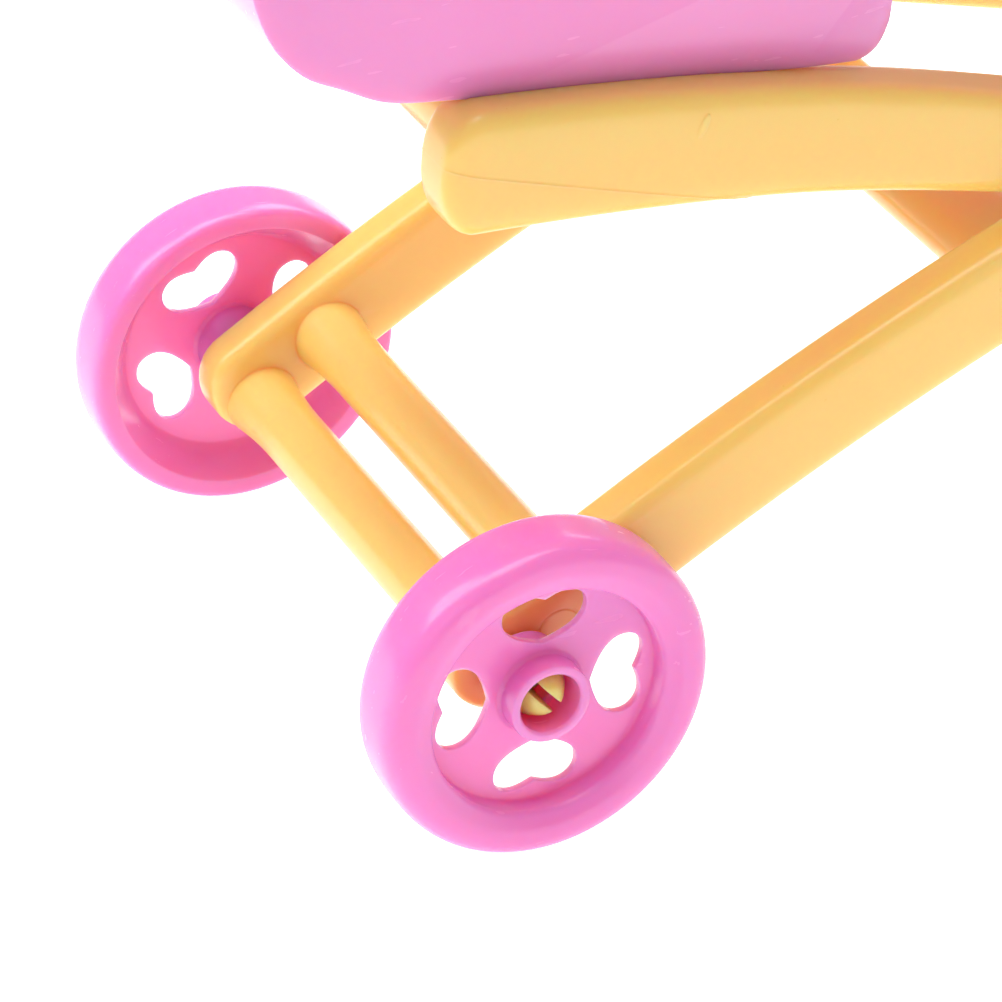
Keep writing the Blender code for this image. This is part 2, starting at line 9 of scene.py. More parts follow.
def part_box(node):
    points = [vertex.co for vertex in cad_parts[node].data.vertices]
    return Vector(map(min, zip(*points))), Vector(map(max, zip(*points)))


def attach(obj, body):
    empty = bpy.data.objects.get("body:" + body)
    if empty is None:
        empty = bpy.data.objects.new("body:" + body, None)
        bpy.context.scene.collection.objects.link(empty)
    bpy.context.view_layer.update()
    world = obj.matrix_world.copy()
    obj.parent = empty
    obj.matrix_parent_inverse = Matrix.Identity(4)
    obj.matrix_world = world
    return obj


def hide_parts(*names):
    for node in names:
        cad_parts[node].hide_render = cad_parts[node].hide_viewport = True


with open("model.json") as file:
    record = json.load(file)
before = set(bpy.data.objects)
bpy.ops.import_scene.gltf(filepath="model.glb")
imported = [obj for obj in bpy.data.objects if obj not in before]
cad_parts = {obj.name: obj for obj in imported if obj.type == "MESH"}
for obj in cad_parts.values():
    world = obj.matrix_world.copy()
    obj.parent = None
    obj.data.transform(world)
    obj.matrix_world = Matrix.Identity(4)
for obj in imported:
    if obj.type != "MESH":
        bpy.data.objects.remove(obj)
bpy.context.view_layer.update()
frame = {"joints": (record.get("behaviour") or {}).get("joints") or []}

MM = 0.001

# Places taken from the frame
JOINTS = {joint["name"]: Vector(joint["pos_m"]) for joint in frame["joints"]}
FRONT_AXLE = JOINTS["front_right_spin"].copy()
REAR_AXLE = JOINTS["rear_right_spin"].copy()
PIVOT = JOINTS["frame_fold"].copy()
SEAT_HINGE = JOINTS["seat_tip"].copy()
HOOD_AXIS = JOINTS["hood_front_fold"].copy()
HANDLE_FOOT = (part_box("handle_pin_right")[0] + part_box("handle_pin_right")[1]) / 2
WHEEL_RADIUS = FRONT_AXLE.z
WHEELBASE = REAR_AXLE.y - FRONT_AXLE.y

# Leg frames
ARC_RADIUS = 321.5 * MM
ARC_CENTRE_S = 164.8 * MM
ARC_CENTRE_Z = -275.5 * MM
HEEL_S = -1.4 * MM
FRONT_LEG_END_S = 141.5 * MM
REAR_LEG_END_S = 138.9 * MM
LEG_DEPTH_LOW = 8.8 * MM
LEG_DEPTH_HIGH = 11.0 * MM
DEEPER_FROM = 82.0 * MM
FRONT_FULLNESS = 1.08
REAR_FULLNESS = 1.04
FRONT_SQUARENESS = 0.52
REAR_SQUARENESS = 0.44
REAR_SAG = 1.2 * MM
SAG_AT = 76.0 * MM
SAG_REACH = 36.0 * MM
FRONT_LEG_IN = 22.8 * MM
FRONT_LEG_OUT = 28.2 * MM
REAR_LEG_IN = 18.0 * MM
REAR_LEG_OUT = 24.4 * MM
REAR_LEG_THIN_OUT = 22.5 * MM
SPLAY_UNTIL = 16.0 * MM
THIN_FROM = 46.0 * MM
THIN_UNTIL = 83.6 * MM
THICK_FROM = 87.6 * MM
CROSSBARS = (
    (-1.0 * MM, 1.9 * MM, 2.9 * MM, 2.9 * MM),
    (5.8 * MM, 0.1 * MM, 2.9 * MM, 2.9 * MM),
    (51.1 * MM, 1.2 * MM, 4.7 * MM, 2.9 * MM),
    (134.7 * MM, 0.6 * MM, 3.2 * MM, 3.4 * MM),
)
PIN_RADIUS = 1.9 * MM
PIN_GAP = 0.12 * MM
WHEEL_TURNS = {"wheel_front_right": -3.0, "wheel_front_left": 24.0,
               "wheel_rear_right": 31.0, "wheel_rear_left": -12.0}


def arc_height(s):
    """Height of the common arc of the legs, a distance s from the wheel."""
    return ARC_CENTRE_Z + math.sqrt(ARC_RADIUS ** 2 - (ARC_CENTRE_S - s) ** 2)


def arc_slope(s):
    """Slope of that arc."""
    return math.asin((ARC_CENTRE_S - s) / ARC_RADIUS)


def at(y, z, x=0.0):
    """World place of a point measured from the middle of the front axle."""
    return Vector((x, FRONT_AXLE.y + y, FRONT_AXLE.z + z))


# ---------------------------------------------------------------- finishes

class Wire:
    """A socket that takes part in sums as a number does."""

    def __init__(self, finish, socket):
        self.finish = finish
        self.socket = socket

    def sum(self, operation, first, second):
        return self.finish.node("ShaderNodeMath", {"operation": operation}, {0: first, 1: second})

    def __add__(self, other):
        return self.sum("ADD", self, other)

    def __radd__(self, other):
        return self.sum("ADD", other, self)

    def __sub__(self, other):
        return self.sum("SUBTRACT", self, other)

    def __rsub__(self, other):
        return self.sum("SUBTRACT", other, self)

    def __mul__(self, other):
        return self.sum("MULTIPLY", self, other)

    def __rmul__(self, other):
        return self.sum("MULTIPLY", other, self)


class Finish:
    """A material under construction."""

    def __init__(self, name):
        self.material = bpy.data.materials.new(name)
        self.material.use_nodes = True
        self.tree = self.material.node_tree
        self.shader = self.tree.nodes["Principled BSDF"]

    def node(self, kind, settings=None, sockets=None, output=0):
        made = self.tree.nodes.new(kind)
        for name, value in (settings or {}).items():
            if name == "stops":
                self.stops(made.color_ramp, value)
            else:
                setattr(made, name, value)
        for name, value in (sockets or {}).items():
            self.feed(made.inputs[name], value)
        return Wire(self, made.outputs[output])

    def stops(self, ramp, stops):
        while len(ramp.elements) < len(stops):
            ramp.elements.new(0.5)
        for element, (place, grey) in zip(ramp.elements, stops):
            element.position = place
            element.color = (grey, grey, grey, 1.0)

    def feed(self, socket, value):
        if isinstance(value, Wire):
            self.tree.links.new(value.socket, socket)
        else:
            socket.default_value = value

    def mix(self, factor, first, second):
        return self.node("ShaderNodeMix", {"data_type": "RGBA"},
                         {0: factor, 6: first, 7: second}, output=2)

    def set(self, **constants):
        for name, value in constants.items():
            self.shader.inputs[name.replace("_", " ")].default_value = value


def colour(red, green, blue):
    return (red, green, blue, 1.0)


GLOW_REACH = 5.0 * MM


def moulded_plastic(name, face, deep, edge, gloss, glow_depth, seed):
    """Glossy moulded plastic: faint flow marks, paler worn edges, fine scuffs and a soft depth."""
    finish = Finish(name)
    coords = finish.node("ShaderNodeTexCoord", output=3)
    clouds = finish.node("ShaderNodeTexNoise", {"noise_dimensions": "4D"},
                         {"Vector": coords, "W": seed, "Scale": 38.0, "Detail": 3.0})
    flow_place = finish.node("ShaderNodeMapping", {},
                             {"Vector": coords, "Scale": (260.0, 34.0, 150.0)})
    flow = finish.node("ShaderNodeTexNoise", {"noise_dimensions": "4D"},
                       {"Vector": flow_place, "W": seed, "Scale": 1.0, "Detail": 4.0})
    scuffs = finish.node("ShaderNodeTexNoise", {"noise_dimensions": "4D"},
                         {"Vector": coords, "W": seed + 3.0, "Scale": 900.0, "Detail": 5.0})
    scratch_place = finish.node("ShaderNodeMapping", {},
                                {"Vector": coords, "Rotation": (0.5, 0.3, 0.2),
                                 "Scale": (2600.0, 160.0, 900.0)})
    scratches = finish.node("ShaderNodeTexNoise", {"noise_dimensions": "4D"},
                            {"Vector": scratch_place, "W": seed, "Scale": 1.0, "Detail": 2.0})
    scratch_mask = finish.node("ShaderNodeValToRGB", {"stops": ((0.0, 0.0), (0.66, 0.0), (0.74, 1.0))},
                               {"Fac": scratches})
    pointiness = finish.node("ShaderNodeNewGeometry", output=7)
    worn = finish.node("ShaderNodeValToRGB", {"stops": ((0.0, 0.0), (0.515, 0.0), (0.60, 1.0))},
                       {"Fac": pointiness})
    body = finish.mix(clouds * 0.30 + flow * 0.12, colour(*face), colour(*deep))
    rubbed = finish.mix(worn * clouds * 0.25, body, colour(*edge))
    finish.feed(finish.shader.inputs["Base Color"], rubbed)
    rough = gloss + scuffs * 0.05 + scratch_mask * 0.06
    finish.feed(finish.shader.inputs["Roughness"], rough)
    relief = scuffs * 0.12 + flow * 0.25 - scratch_mask * 0.10
    rounded = finish.node("ShaderNodeBevel", {"samples": 4}, {"Radius": 0.30 * MM})
    bump = finish.node("ShaderNodeBump", {}, {"Strength": 0.22, "Distance": 0.08 * MM,
                                              "Height": relief, "Normal": rounded})
    finish.feed(finish.shader.inputs["Normal"], bump)
    finish.set(IOR=1.49, Subsurface_Weight=glow_depth, Subsurface_Scale=GLOW_REACH,
               Coat_Weight=0.25, Coat_Roughness=0.12)
    finish.set(Subsurface_Radius=(1.0, 0.40, 0.22))
    return finish.material


def frame_yellow():
    return moulded_plastic("frame_yellow", (0.87, 0.62, 0.175), (0.84, 0.56, 0.135),
                           (0.93, 0.72, 0.40), 0.26, 0.95, 1.0)


def wheel_pink():
    return moulded_plastic("wheel_pink", (0.80, 0.23, 0.60), (0.78, 0.19, 0.53),
                           (0.92, 0.46, 0.72), 0.22, 0.90, 7.0)


def seat_lilac():
    return moulded_plastic("seat_lilac", (0.70, 0.26, 0.58), (0.67, 0.23, 0.54),
                           (0.84, 0.48, 0.76), 0.22, 0.80, 13.0)


FRAME_YELLOW = frame_yellow()
WHEEL_PINK = wheel_pink()
SEAT_LILAC = seat_lilac()


# ---------------------------------------------------------------- modelling by hand

def object_mode():
    if bpy.context.mode != "OBJECT":
        bpy.ops.object.mode_set(mode="OBJECT")


def take(obj):
    """Select one object and nothing else."""
    object_mode()
    bpy.ops.object.select_all(action="DESELECT")
    obj.select_set(True)
    bpy.context.view_layer.objects.active = obj


def edit(obj):
    take(obj)
    bpy.ops.object.mode_set(mode="EDIT")


def start_loop(name, points):
    """A ring of edges through the given points, left in edit mode with the ring selected."""
    object_mode()
    bpy.ops.object.select_all(action="DESELECT")
    bpy.ops.mesh.primitive_circle_add(vertices=len(points), radius=1.0, fill_type="NOTHING")
    obj = bpy.context.object
    obj.name = name
    obj.data.name = name
    for vertex, point in zip(obj.data.vertices, points):
        vertex.co = point
    edit(obj)
    bpy.ops.mesh.select_all(action="SELECT")
    return obj


def extrude():
    bpy.ops.mesh.extrude_region_move(TRANSFORM_OT_translate={"value": (0.0, 0.0, 0.0)})


def close_up():
    """Fill the open ends, merge doubles and turn the faces outwards."""
    bpy.ops.mesh.select_all(action="SELECT")
    bpy.ops.mesh.remove_doubles(threshold=0.000002)
    bpy.ops.mesh.select_all(action="DESELECT")
    bpy.ops.mesh.select_mode(type="EDGE")
    bpy.ops.mesh.select_non_manifold()
    if any(edge.select for edge in edges_now()):
        bpy.ops.mesh.edge_face_add()
        bpy.ops.mesh.fill_holes(sides=0)
    bpy.ops.mesh.select_mode(type="VERT")
    bpy.ops.mesh.select_all(action="SELECT")
    bpy.ops.mesh.normals_make_consistent(inside=False)
    object_mode()


def edges_now():
    obj = bpy.context.object
    obj.update_from_editmode()
    return obj.data.edges


def ring_points(x, radius, y, z, sides):
    """Points of a circle square to X."""
    points = []
    for i in range(sides):
        around = 2 * math.pi * i / sides
        points.append((x, y + radius * math.cos(around), z + radius * math.sin(around)))
    return points


def turned(name, profile, y, z, sides=64, ring=False):
    """A turned piece about a line along X, from points of (x, radius)."""
    x, radius = profile[0]
    obj = start_loop(name, ring_points(x, radius, y, z, sides))
    for next_x, next_radius in profile[1:]:
        extrude()
        bpy.ops.transform.translate(value=(next_x - x, 0.0, 0.0))
        size = next_radius / radius
        bpy.ops.transform.resize(value=(1.0, size, size), center_override=(next_x, y, z))
        x, radius = next_x, next_radius
    if ring:
        bpy.ops.mesh.select_all(action="SELECT")
        bpy.ops.mesh.remove_doubles(threshold=0.000002)
        bpy.ops.mesh.normals_make_consistent(inside=False)
        object_mode()
    else:
        close_up()
    return obj


def slab(name, outline, x_low, x_high):
    """A flat outline of world (y, z) points given a thickness along X."""
    obj = start_loop(name, [(x_low, y, z) for y, z in outline])
    bpy.ops.mesh.edge_face_add()
    extrude()
    bpy.ops.transform.translate(value=(x_high - x_low, 0.0, 0.0))
    bpy.ops.mesh.select_all(action="SELECT")
    bpy.ops.mesh.normals_make_consistent(inside=False)
    object_mode()
    return obj


def apply_all(obj):
    """Apply every modifier of a piece."""
    take(obj)
    for modifier in list(obj.modifiers):
        bpy.ops.object.modifier_apply(modifier=modifier.name)
    return obj


def combine(obj, other, operation):
    """Join, cut or keep the common part; the other piece is used up."""
    change = obj.modifiers.new("combine", "BOOLEAN")
    change.operation = operation
    change.solver = "EXACT"
    change.object = other
    apply_all(obj)
    bpy.data.objects.remove(other, do_unlink=True)
    return obj


def soften(obj, width, segments=3, angle=32.0):
    """Round the sharp edges."""
    bevel = obj.modifiers.new("soften", "BEVEL")
    bevel.width = width
    bevel.segments = segments
    bevel.limit_method = "ANGLE"
    bevel.angle_limit = math.radians(angle)
    return apply_all(obj)


def smooth(obj, angle=38.0):
    take(obj)
    bpy.ops.object.shade_smooth_by_angle(angle=math.radians(angle))
    return obj


def twin(obj, name):
    """The same piece on the other side, with its own mesh."""
    other = obj.copy()
    other.data = obj.data.copy()
    other.name = name
    other.data.name = name
    bpy.context.scene.collection.objects.link(other)
    edit(other)
    bpy.ops.mesh.select_all(action="SELECT")
    bpy.ops.transform.resize(value=(-1.0, 1.0, 1.0), center_override=(0.0, 0.0, 0.0))
    bpy.ops.mesh.normals_make_consistent(inside=False)
    object_mode()
    return other


def keep_side(obj, side, name):
    """The piece itself on the right, or its twin in its stead on the left."""
    if side > 0:
        return obj
    other = twin(obj, name)
    bpy.data.objects.remove(obj, do_unlink=True)
    return other


def drill(obj, place, x_low=-40.0 * MM, x_high=40.0 * MM):
    """Cut a pin's hole along X through the given place."""
    wide = PIN_RADIUS + PIN_GAP
    hole = turned("hole", [(x_low, wide), (x_high, wide)], place.y, place.z, 40)
    return combine(obj, hole, "DIFFERENCE")


def hand_over(obj, node, body, finish):
    """Give a finished piece its plastic, its body and the frame node it stands for."""
    obj.data.materials.clear()
    obj.data.materials.append(finish)
    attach(obj, body)
    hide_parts(node)
    return obj


def arc_steps(centre, radius, start, end, count):
    """Points of (along, out) on an arc, angles in degrees."""
    points = []
    for i in range(count + 1):
        around = math.radians(start + (end - start) * i / count)
        points.append((centre[0] + radius * math.cos(around),
                       centre[1] + radius * math.sin(around)))
    return points


# ---------------------------------------------------------------- wheels

WHEEL_INNER = 28.6 * MM
WHEEL_OUTER = 35.6 * MM
RING_BORE = 10.8 * MM
WEB_IN = 32.1 * MM
BACK_BORE = 11.2 * MM
BACK_RIM = 13.1 * MM
WEB_OUT = 32.8 * MM
TREAD_CROWN = 2.7 * MM
HUB_RADIUS = 3.75 * MM
HUB_MOUTH = 2.8 * MM
HUB_BORE = 2.1 * MM
HUB_SHOULDER = 31.6 * MM


def tread_profile():
    """Outer skin of the ring, from the edge of its outer face over the tread to its inner lip."""
    middle = (WHEEL_INNER + WHEEL_OUTER) / 2
    half = (WHEEL_OUTER - WHEEL_INNER) / 2 - 0.1 * MM
    points = []
    count = 28
    for i in range(count + 1):
        around = math.pi * i / count
        front = i <= count / 2
        tall = max(0.0, math.sin(around)) ** (0.66 if front else 0.36)
        wide = math.copysign(abs(math.cos(around)) ** (0.66 if front else 0.5), math.cos(around))
        rise = TREAD_CROWN if front else WHEEL_RADIUS - BACK_RIM - 0.4 * MM
        points.append((middle + half * wide, WHEEL_RADIUS - rise + rise * tall))
    return points


HEART_HALF = (
    # distance from the hub's centre and half width, from the tip round a lobe to the notch
    (4.7, 0.0), (5.15, 1.4), (5.85, 2.8), (6.8, 3.7), (7.9, 3.95), (8.9, 3.6), (9.55, 2.6),
    (9.55, 1.4), (9.05, 0.0),
)


def heart_outline(turn):
    """Broad heart with its tip towards the hub, as (y, z) points about the hub."""
    half = flowing([(r * MM, side * MM) for r, side in HEART_HALF], 4)
    whole = half + [(r, -side) for r, side in half[-2:0:-1]]
    return [(r * math.cos(turn) - side * math.sin(turn), r * math.sin(turn) + side * math.cos(turn))
            for r, side in whole]


def wheel(node, body, axle, side):
    """One wheel: ring with a crowned tread, web with four hearts, stepped hub."""
    y, z = axle.y, axle.z
    hub_in = WHEEL_INNER + 0.1 * MM
    hub_out = WHEEL_OUTER - 0.5 * MM
    lip = 0.35 * MM
    fillet = 0.3 * MM
    round_off = 0.75 * MM
    edge = arc_steps((WHEEL_OUTER - 1.3 * MM, RING_BORE + round_off), round_off, -90, -22, 6)
    profile = tread_profile()
    profile += [(WHEEL_INNER + 0.15 * MM, BACK_RIM + 0.1 * MM),
                (WHEEL_INNER + 0.45 * MM, BACK_RIM - 0.1 * MM),
                (WEB_IN - 0.9 * MM, BACK_BORE + 0.42 * MM), (WEB_IN - 0.25 * MM, BACK_BORE),
                (WEB_IN, BACK_BORE - 0.35 * MM),
                (WEB_IN, HUB_RADIUS + fillet), (WEB_IN - fillet, HUB_RADIUS),
                (hub_in + lip, HUB_RADIUS - 0.08 * MM), (hub_in, HUB_RADIUS - lip),
                (hub_in, HUB_BORE + 0.15 * MM), (hub_in + 0.15 * MM, HUB_BORE),
                (HUB_SHOULDER, HUB_BORE), (HUB_SHOULDER, HUB_MOUTH),
                (hub_out - 0.25 * MM, HUB_MOUTH), (hub_out, HUB_MOUTH + 0.2 * MM),
                (hub_out, HUB_RADIUS - lip), (hub_out - 0.1 * MM, HUB_RADIUS - 0.1 * MM),
                (hub_out - lip, HUB_RADIUS - 0.05 * MM), (WEB_OUT + fillet, HUB_RADIUS),
                (WEB_OUT, HUB_RADIUS + fillet), (WEB_OUT, RING_BORE - fillet),
                (WEB_OUT + 0.1 * MM, RING_BORE - 0.1 * MM), (WEB_OUT + fillet, RING_BORE)]
    profile += edge
    profile.append((WHEEL_OUTER - 0.28 * MM, WHEEL_RADIUS - 3.15 * MM))
    profile.append(profile[0])
    obj = turned(node + "_shell", profile, y, z, 112, ring=True)
    for i in range(4):
        turn = math.radians(WHEEL_TURNS[node] + 90.0 * i)
        outline = [(y + a, z + b) for a, b in heart_outline(turn)]
        cutter = slab("heart", outline, WEB_IN - 1.0 * MM, WEB_OUT + 1.0 * MM)
        combine(obj, cutter, "DIFFERENCE")
    nib_turn = math.radians(WHEEL_TURNS[node] - 5.0)
    nib_reach = WHEEL_RADIUS + 0.18 * MM
    nib_profile = [(31.75 * MM, 0.1 * MM), (31.95 * MM, 0.3 * MM), (32.25 * MM, 0.3 * MM),
                   (32.45 * MM, 0.1 * MM)]
    nib = turned("nib", nib_profile, y + nib_reach * math.cos(nib_turn),
                 z + nib_reach * math.sin(nib_turn), 16)
    combine(obj, nib, "UNION")
    obj = keep_side(smooth(obj, 34.0), side, node + "_shell")
    smooth(obj, 34.0)
    return hand_over(obj, node, body, WHEEL_PINK)


def wheels():
    wheel("wheel_front_right", "front_right_wheel", FRONT_AXLE, 1)
    wheel("wheel_front_left", "front_left_wheel", FRONT_AXLE, -1)
    wheel("wheel_rear_right", "rear_right_wheel", REAR_AXLE, 1)
    wheel("wheel_rear_left", "rear_left_wheel", REAR_AXLE, -1)


# ---------------------------------------------------------------- leg frames

def ramp(value, low, high):
    """0 below low, 1 above high, straight between them."""
    return min(1.0, max(0.0, (value - low) / (high - low)))


def eased(value, low, high):
    """The same with soft ends."""
    t = ramp(value, low, high)
    return t * t * (3.0 - 2.0 * t)


def leg_sides(rearward, s):
    """Inner and outer face of a leg a distance s from its wheel."""
    if not rearward:
        return FRONT_LEG_IN, FRONT_LEG_OUT
    thick = eased(s, THIN_UNTIL, THICK_FROM)
    apart = 1.0 - ramp(s, SPLAY_UNTIL, THIN_FROM)
    outer = REAR_LEG_THIN_OUT + (REAR_LEG_OUT - REAR_LEG_THIN_OUT) * thick
    outer += (FRONT_LEG_OUT - REAR_LEG_THIN_OUT) * apart
    inner = REAR_LEG_IN + (FRONT_LEG_IN - REAR_LEG_IN) * apart
    return inner, outer


def leg_section(half_wide, half_deep, power):
    """Rounded section across a leg, as (across, up) points; a small power is squarer."""
    points = []
    count = 60
    for i in range(count):
        around = 2 * math.pi * i / count
        c, s = math.cos(around), math.sin(around)
        across = math.copysign(abs(c) ** power, c) * half_wide
        up = math.copysign(abs(s) ** power, s) * half_deep
        points.append((across, up))
    return points


def leg_depth(s):
    """Depth of a leg, which grows towards its free end."""
    return LEG_DEPTH_LOW + (LEG_DEPTH_HIGH - LEG_DEPTH_LOW) * ramp(s, DEEPER_FROM, FRONT_LEG_END_S)


def rear_sag(s):
    """How far a rear leg lies below the common arc, about where the legs cross."""
    away = min(1.0, abs(s - SAG_AT) / SAG_REACH)
    return REAR_SAG * (0.5 + 0.5 * math.cos(math.pi * away))


def leg_stations(end_s):
    """Stations along a leg: distance, share of full depth and share of full width."""
    stations = []
    heel = LEG_DEPTH_LOW / 2 * 0.95
    for i in range(9):
        t = math.pi / 2 * (i + 0.4) / 9
        stations.append((HEEL_S - heel * math.cos(t), math.sin(t), 0.58 + 0.42 * math.sin(t)))
    count = 46
    for i in range(count + 1):
        stations.append((HEEL_S + (end_s - HEEL_S) * i / count, 1.0, 1.0))
    tip = leg_depth(end_s) / 2 * 0.62
    for i in range(9):
        t = math.pi / 2 * (i + 1) / 9.4
        stations.append((end_s + tip * math.sin(t), math.cos(t) ** 0.8, 0.55 + 0.45 * math.cos(t)))
    return stations


def leg(name, rearward, grow=0.0):
    """One arched leg, swept through its stations; grow thickens it all round."""
    obj = None
    previous = None
    end_s = REAR_LEG_END_S if rearward else FRONT_LEG_END_S
    fullness = REAR_FULLNESS if rearward else FRONT_FULLNESS
    squareness = REAR_SQUARENESS if rearward else FRONT_SQUARENESS
    for s, deep_share, wide_share in leg_stations(end_s):
        along = min(max(s, HEEL_S), end_s)
        slope = arc_slope(along)
        beyond = s - along
        z = arc_height(along) + beyond * math.sin(slope)
        y = along + beyond * math.cos(slope)
        inner, outer = leg_sides(rearward, along)
        depth = leg_depth(along)
        if rearward:
            z -= rear_sag(along)
            y = WHEELBASE - y
            slope = -slope
        middle = at(y, z, (inner + outer) / 2)
        wide = (outer - inner) / 2 * wide_share + grow
        deep = depth / 2 * deep_share * fullness + grow
        if obj is None:
            points = []
            for across, up in leg_section(wide, deep, squareness):
                points.append((middle.x + across, middle.y - up * math.sin(slope),
                               middle.z + up * math.cos(slope)))
            obj = start_loop(name, points)
        else:
            extrude()
            bpy.ops.transform.translate(value=middle - previous[0])
            bpy.ops.transform.rotate(value=previous[1] - slope, orient_axis="X",
                                     center_override=middle)
            bpy.ops.transform.resize(value=(wide / previous[2], deep / previous[3],
                                            deep / previous[3]), center_override=middle)
        previous = (middle, slope, wide, deep)
    close_up()
    return obj


def bar_points(x, y, z, half_y, half_z, angle, sides=36):
    """Points of an oval square to X, tilted by an angle."""
    points = []
    for i in range(sides):
        around = 2 * math.pi * i / sides
        a = math.cos(around) * half_y
        b = math.sin(around) * half_z
        points.append(at(y + a * math.cos(angle) - b * math.sin(angle),
                         z + a * math.sin(angle) + b * math.cos(angle), x))
    return points


def crossbar(name, rearward, index):
    """Oval bar from leg to leg, spreading a little where it meets them."""
    s, drop, half_y, half_z = CROSSBARS[index]
    slope = arc_slope(max(s, 0.0))
    z = arc_height(max(s, 0.0)) - drop
    y = WHEELBASE - s if rearward else s
    angle = -slope if rearward else slope
    inner = leg_sides(rearward, max(s, 0.0))[0]
    reach = inner + 1.4 * MM
    swell = [(reach, 1.2)] + [(inner - i * MM, 1.0 + 0.19 * (1.0 - i / 7) ** 2) for i in range(8)]
    stations = [(-x, k) for x, k in swell] + [(x, k) for x, k in swell[::-1]]
    x, size = stations[0]
    obj = start_loop(name, bar_points(x, y, z, half_y * size, half_z * size, angle))
    centre = at(y, z)
    for next_x, next_size in stations[1:]:
        extrude()
        bpy.ops.transform.translate(value=(next_x - x, 0.0, 0.0))
        k = next_size / size
        bpy.ops.transform.resize(value=(1.0, k, k), center_override=(next_x, centre.y, centre.z))
        x, size = next_x, next_size
    close_up()
    return obj


def snap_pin(y):
    """Split stub with a snap head that holds a wheel."""
    shoulder = HUB_SHOULDER
    profile = [(FRONT_LEG_OUT - 2.0 * MM, PIN_RADIUS), (shoulder + 0.25 * MM, PIN_RADIUS),
               (shoulder + 0.5 * MM, 2.36 * MM), (shoulder + 0.75 * MM, 2.45 * MM),
               (shoulder + 1.1 * MM, 2.42 * MM), (shoulder + 2.3 * MM, 1.72 * MM),
               (shoulder + 2.75 * MM, 1.3 * MM), (shoulder + 2.9 * MM, 0.9 * MM)]
    place = at(y, 0.0)
    obj = turned("snap_pin", profile, place.y, place.z, 48)
    turn = math.radians(131.0)
    outline = []
    for a, b in ((4.0, 0.55), (-4.0, 0.55), (-4.0, -0.55), (4.0, -0.55)):
        outline.append((place.y + (a * math.cos(turn) - b * math.sin(turn)) * MM,
                        place.z + (a * math.sin(turn) + b * math.cos(turn)) * MM))
    slot = slab("slot", outline, 30.0 * MM, 36.0 * MM)
    return combine(obj, slot, "DIFFERENCE")


def parting_ridge():
    """Fine raised seam that the two halves of the mould leave on the rear frame's upper end."""
    skin = leg("parting_ridge", True, 0.05 * MM)
    half = 0.07 * MM
    ends = ((-9.0 * MM, 47.7 * MM), (24.5 * MM, 36.6 * MM))
    outline = [(ends[0][0], ends[0][1] - half), (ends[1][0], ends[1][1] - half),
               (ends[1][0], ends[1][1] + half), (ends[0][0], ends[0][1] + half)]
    outline = [tuple(at(y, z).yz) for y, z in outline]
    return combine(skin, slab("seam_plane", outline, 10.0 * MM, 40.0 * MM), "INTERSECT")


def gate_mark():
    """Low rough stub on the outer face of the rear frame, where the plastic was let in."""
    place = at(19.0 * MM, 45.2 * MM)
    stub = turned("gate_mark", [(REAR_LEG_OUT - 0.6 * MM, 1.0 * MM), (REAR_LEG_OUT, 0.9 * MM),
                                (REAR_LEG_OUT + 0.07 * MM, 0.5 * MM)], place.y, place.z, 20)
    edit(stub)
    bpy.ops.mesh.select_all(action="SELECT")
    bpy.ops.transform.resize(value=(1.0, 0.42, 1.25), center_override=place)
    bpy.ops.transform.rotate(value=0.45, orient_axis="X", center_override=place)
    object_mode()
    return stub


def ejector_mark():
    """Shallow round groove left by an ejector pin on the outer face beside the wheel."""
    place = at(4.2 * MM, 2.2 * MM)
    groove = [(FRONT_LEG_OUT - 0.08 * MM, 1.95 * MM), (FRONT_LEG_OUT + 0.5 * MM, 1.9 * MM),
              (FRONT_LEG_OUT + 0.5 * MM, 2.15 * MM), (FRONT_LEG_OUT - 0.08 * MM, 2.1 * MM),
              (FRONT_LEG_OUT - 0.08 * MM, 1.95 * MM)]
    return turned("ejector_mark", groove, place.y, place.z, 40, ring=True)


def leg_frame(node, body, rearward):
    """Two legs, four bars and two snap pins joined as one moulding."""
    right = leg(node + "_moulding", rearward)
    if rearward:
        combine(right, parting_ridge(), "UNION")
        combine(right, gate_mark(), "UNION")
    else:
        combine(right, ejector_mark(), "DIFFERENCE")
    combine(right, snap_pin(WHEELBASE if rearward else 0.0), "UNION")
    drill(right, PIVOT, 15.0 * MM, 32.0 * MM)
    if not rearward:
        drill(right, HANDLE_FOOT, FRONT_LEG_OUT - 3.5 * MM, 32.0 * MM)
    left = twin(right, "left_leg")
    combine(right, left, "UNION")
    for index in range(len(CROSSBARS)):
        combine(right, crossbar("bar", rearward, index), "UNION")
    smooth(right, 40.0)
    return hand_over(right, node, body, FRAME_YELLOW)


# ---------------------------------------------------------------- pins and handle

def headed_pin(node, body, x_low, x_high, place, side):
    """Short pin with a domed, dimpled head on its outer end."""
    head = 3.1 * MM
    profile = [(x_low, PIN_RADIUS - 0.35 * MM), (x_low + 0.4 * MM, PIN_RADIUS),
               (x_high, PIN_RADIUS), (x_high, head - 0.12 * MM), (x_high + 0.12 * MM, head),
               (x_high + 0.4 * MM, head - 0.05 * MM), (x_high + 0.7 * MM, head - 0.35 * MM),
               (x_high + 0.95 * MM, head - 0.95 * MM), (x_high + 1.06 * MM, head - 1.6 * MM),
               (x_high + 1.0 * MM, head - 1.95 * MM), (x_high + 0.75 * MM, head - 2.2 * MM),
               (x_high + 0.7 * MM, 0.2 * MM)]
    obj = turned(node + "_turned", profile, place.y, place.z, 48)
    obj = keep_side(smooth(obj, 36.0), side, node + "_turned")
    smooth(obj, 36.0)
    return hand_over(obj, node, body, FRAME_YELLOW)


